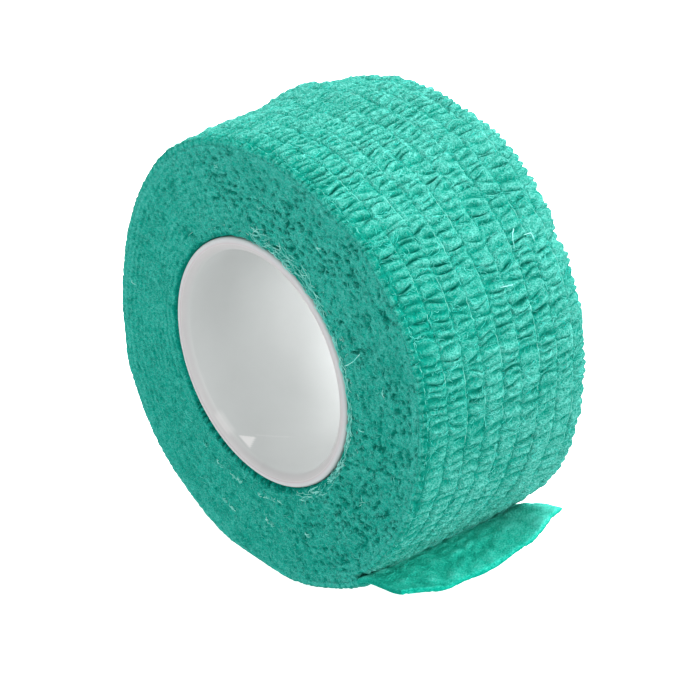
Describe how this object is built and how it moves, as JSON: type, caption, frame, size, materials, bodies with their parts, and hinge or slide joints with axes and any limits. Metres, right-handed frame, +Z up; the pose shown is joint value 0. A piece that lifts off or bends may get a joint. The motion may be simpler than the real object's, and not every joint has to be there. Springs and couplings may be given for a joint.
{
  "type": "cohesive bandage roll",
  "caption": "Narrow roll of crinkled teal cohesive bandage wound on a white plastic core, lying on its rim with its cut end lifted off.",
  "frame": {"origin": "on the surface that the roll rests on, at the middle of the roll's flat spot, below the middle of its axis", "axes": "+Z up, Y along the roll's axis with the front face towards -Y, +X towards the lifted cut end"},
  "size_m": [0.0588, 0.0252, 0.0581],
  "materials": {
    "core_plastic": "white moulded plastic, half gloss",
    "bandage": "teal-green crinkled non-woven cloth with fine elastic threads, matt and slightly fuzzy",
    "bandage_loose": "inner face of the same cloth, matt, pressed flatter"
  },
  "bodies": {
    "root": {"core": "core_plastic", "roll": "bandage", "loose_end": "bandage_loose"}
  },
  "joints": []
}
